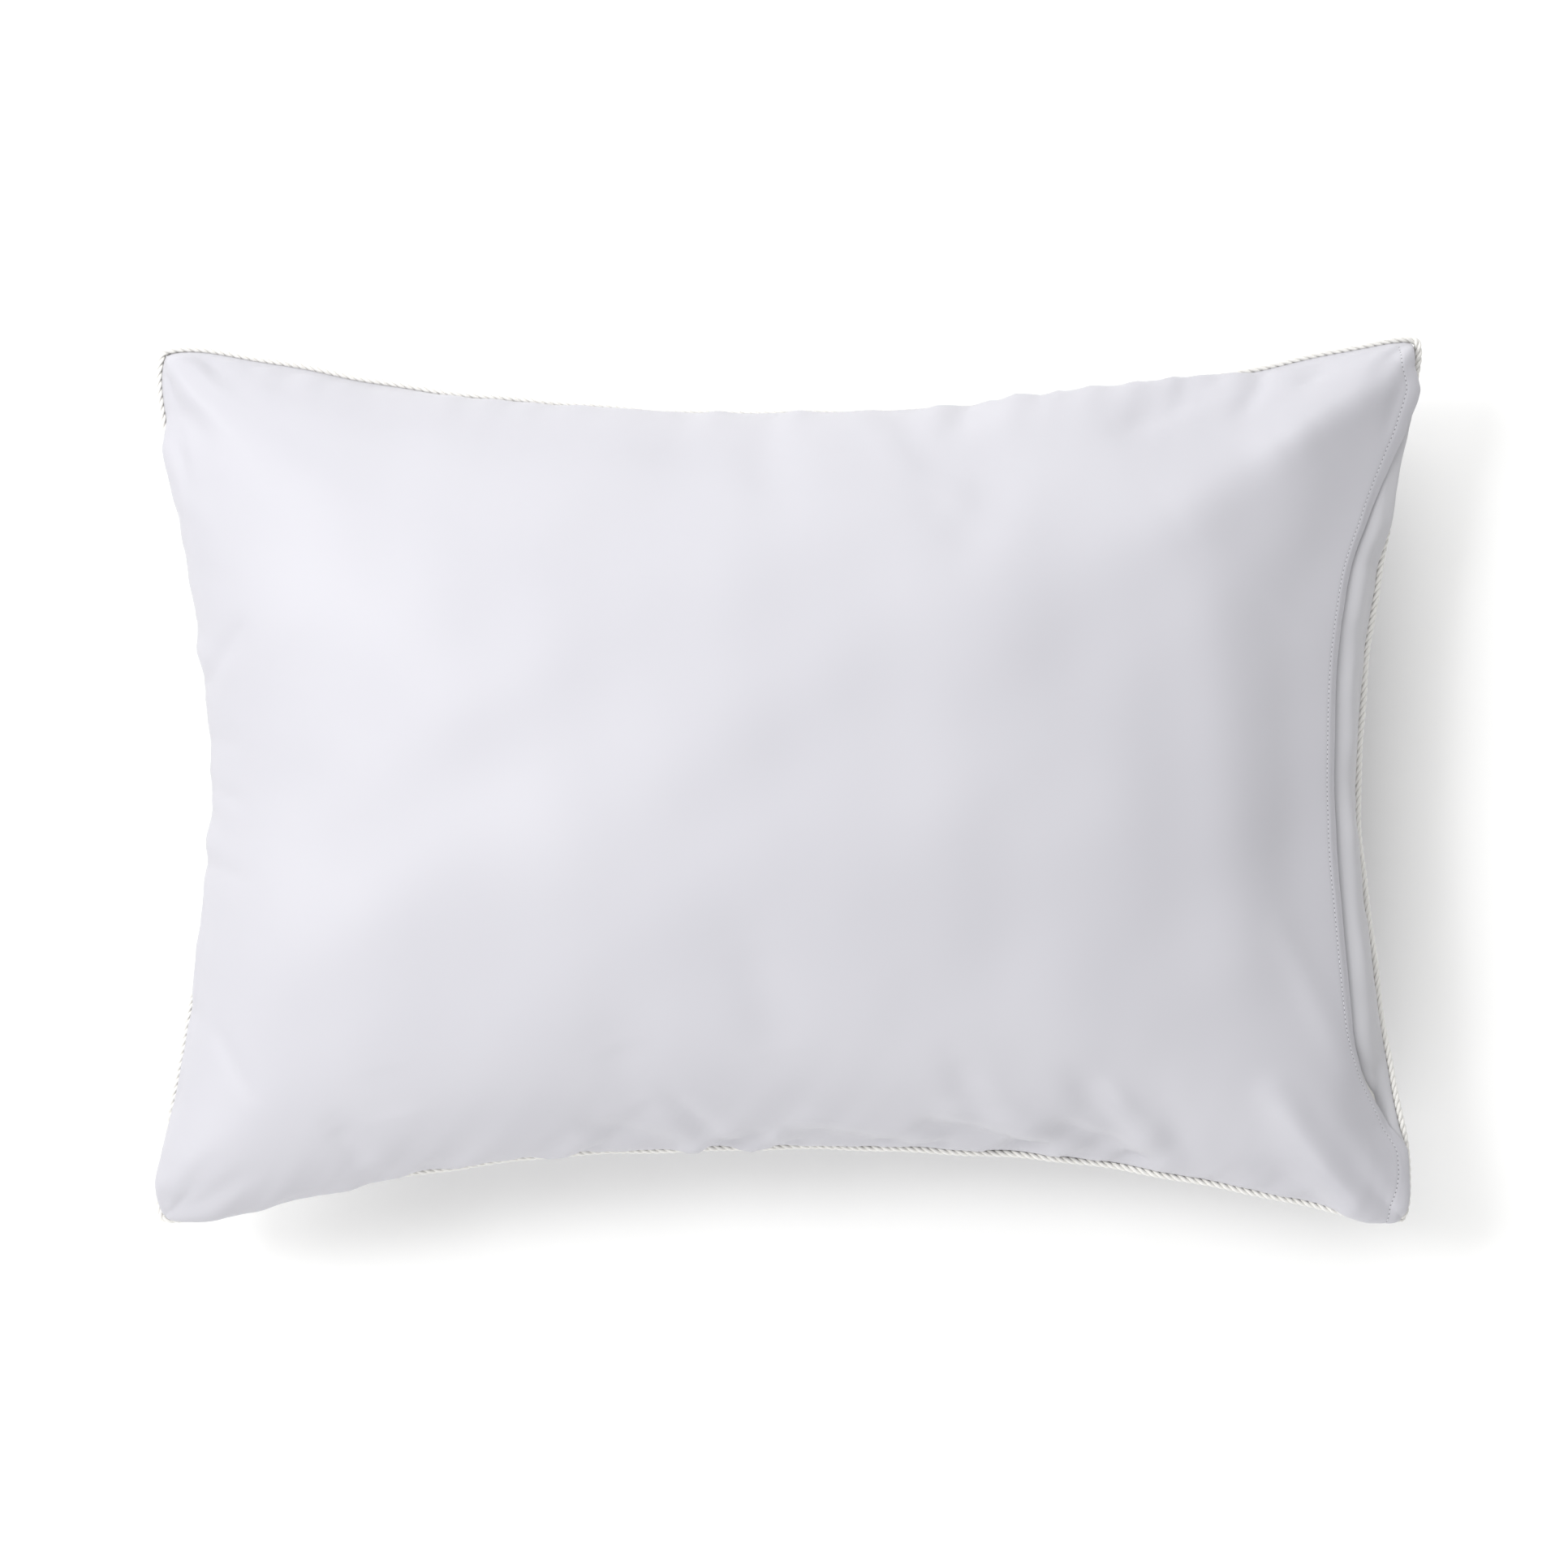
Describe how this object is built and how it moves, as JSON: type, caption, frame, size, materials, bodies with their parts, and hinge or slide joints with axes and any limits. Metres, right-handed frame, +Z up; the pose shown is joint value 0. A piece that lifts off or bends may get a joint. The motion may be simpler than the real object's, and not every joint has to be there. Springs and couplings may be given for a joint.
{
  "type": "bed pillow",
  "caption": "Plump rectangular bed pillow in a piped satin envelope case; the insert slides out through the hemmed mouth at one end.",
  "frame": {"origin": "Bottom centre of the pillow, on the surface it lies on.", "axes": "+X runs along the pillow to the mouth of the case, +Y across it, +Z up through the crown."},
  "size_m": [0.6699, 0.4695, 0.183],
  "materials": {
    "satin": "smooth satin with a soft broad sheen",
    "flap_satin": "smooth satin, the same cloth as the case",
    "cord_yarn": "twisted three-strand rayon cord",
    "tape_cotton": "woven cotton tape",
    "sewing_thread": "fine polyester thread",
    "ticking_cotton": "matte, densely woven cotton",
    "fill_fibre": "soft loose fibre"
  },
  "bodies": {
    "case": {"case_top_panel": "satin", "case_bottom_panel": "satin", "tuck_in_flap": "flap_satin", "piping_cord": "cord_yarn", "piping_tape": "tape_cotton", "seam_thread": "sewing_thread", "mouth_hem_thread": "sewing_thread", "flap_hem_thread": "sewing_thread"},
    "insert": {"insert_ticking_top": "ticking_cotton", "insert_ticking_bottom": "ticking_cotton", "insert_fill": "fill_fibre", "insert_edge_thread": "sewing_thread"}
  },
  "joints": [
    {"name": "insert_slide", "type": "slide", "parent": "case", "child": "insert", "axis": [1, 0, 0], "range_m": [0, 0.7], "deforming": ["case_top_panel", "case_bottom_panel", "tuck_in_flap", "piping_cord", "piping_tape", "seam_thread", "mouth_hem_thread", "flap_hem_thread"]}
  ]
}
